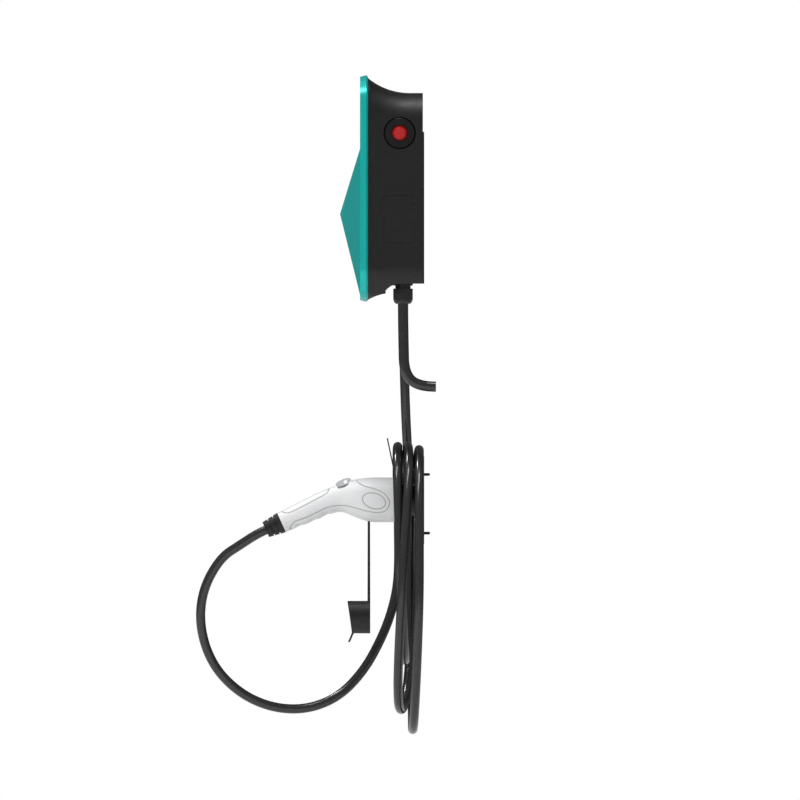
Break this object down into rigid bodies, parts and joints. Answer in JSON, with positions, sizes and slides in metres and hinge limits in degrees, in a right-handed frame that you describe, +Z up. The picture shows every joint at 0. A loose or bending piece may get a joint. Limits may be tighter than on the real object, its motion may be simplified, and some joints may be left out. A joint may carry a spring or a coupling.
{
  "type": "ev wallbox",
  "caption": "Wall-mounted car charger with a pyramid-faced cover, a stop button, a breaker flap, a coiled charging cable and its plug resting in a wall holder.",
  "frame": {"origin": "centre of the back plate's four holes, on the face that lies on the wall", "axes": "+Z up, +Y into the wall, -Y out of the wall towards the user, +X to the user's right"},
  "size_m": [0.29, 0.3603, 0.987],
  "materials": {
    "cover_lacquer": "satin teal",
    "housing_abs": "fine grain black",
    "seal_rubber": "soft black",
    "zinc_steel": "zinc plated",
    "button_red": "glossy red",
    "inner_grey": "light grey",
    "inner_black": "black",
    "board_green": "solder mask green",
    "bar_brass": "bare brass",
    "cable_rubber": "glossy black sheath",
    "gland_nylon": "black nylon",
    "holder_powder": "black powder coat",
    "plug_white": "satin white",
    "plug_black": "black",
    "contact_silver": "silver plated",
    "boot_rubber": "black rubber"
  },
  "bodies": {
    "root": {"back_plate": "holder_powder", "board_standoffs": "zinc_steel", "breaker": "inner_grey", "charge_cable_coil": "cable_rubber", "charge_cable_drop": "cable_rubber", "charge_cable_tail": "cable_rubber", "charge_gland_body": "gland_nylon", "charge_gland_locknut": "gland_nylon", "charge_gland_nut": "gland_nylon", "charge_gland_seal": "seal_rubber", "contactor": "inner_grey", "control_board": "board_green", "cover_gasket": "seal_rubber", "cover_screws": "zinc_steel", "current_sensor": "inner_black", "din_rail": "zinc_steel", "dust_cap": "boot_rubber", "earth_bar": "bar_brass", "flap_hinge_pin": "zinc_steel", "front_cover": "cover_lacquer", "holder_front_plate": "holder_powder", "holder_rivets": "zinc_steel", "holder_saddle": "holder_powder", "holder_socket": "holder_powder", "holder_wall_plate": "holder_powder", "holder_wall_screws": "zinc_steel", "housing": "housing_abs", "plug_boot": "boot_rubber", "plug_contact_block": "plug_black", "plug_contacts": "contact_silver", "plug_face_ring": "plug_white", "plug_latch_pin": "zinc_steel", "plug_latch_spring": "zinc_steel", "plug_nose": "plug_black", "plug_shell_left": "plug_white", "plug_shell_right": "plug_white", "rail_bracket": "zinc_steel", "stop_button_collar": "housing_abs", "stop_button_contact_block": "inner_grey", "stop_button_nut": "inner_black", "supply_cable": "cable_rubber", "supply_gland_body": "gland_nylon", "supply_gland_locknut": "gland_nylon", "supply_gland_nut": "gland_nylon", "supply_gland_seal": "seal_rubber", "supply_terminals": "inner_grey", "terminal_rail": "zinc_steel"},
    "stop_button": {"stop_button_cap": "button_red"},
    "breaker_flap": {"breaker_flap": "housing_abs"},
    "breaker_lever": {"breaker_lever": "inner_black"},
    "plug_latch": {"plug_latch": "plug_white"}
  },
  "joints": [
    {"name": "stop_button_press", "type": "slide", "parent": "root", "child": "stop_button", "axis": [-1, 0, 0], "range_m": [0, 0.004], "stiffness_N_per_m": 900, "springref_m": -0.004},
    {"name": "breaker_flap_hinge", "type": "hinge", "parent": "root", "child": "breaker_flap", "pos_m": [0.1215, -0.03855, 0.0125], "axis": [0, -1, 0], "range_deg": [0, 95]},
    {"name": "breaker_lever_pivot", "type": "hinge", "parent": "root", "child": "breaker_lever", "pos_m": [0.1085, -0.03855, -0.01715], "axis": [0, 0, 1], "range_deg": [0, 70]},
    {"name": "plug_latch_pivot", "type": "hinge", "parent": "root", "child": "plug_latch", "pos_m": [0, -0.0873, -0.4124], "axis": [1, 0, 0], "range_deg": [0, 3], "stiffness_Nm_per_rad": 2, "springref_deg": -2.86}
  ]
}
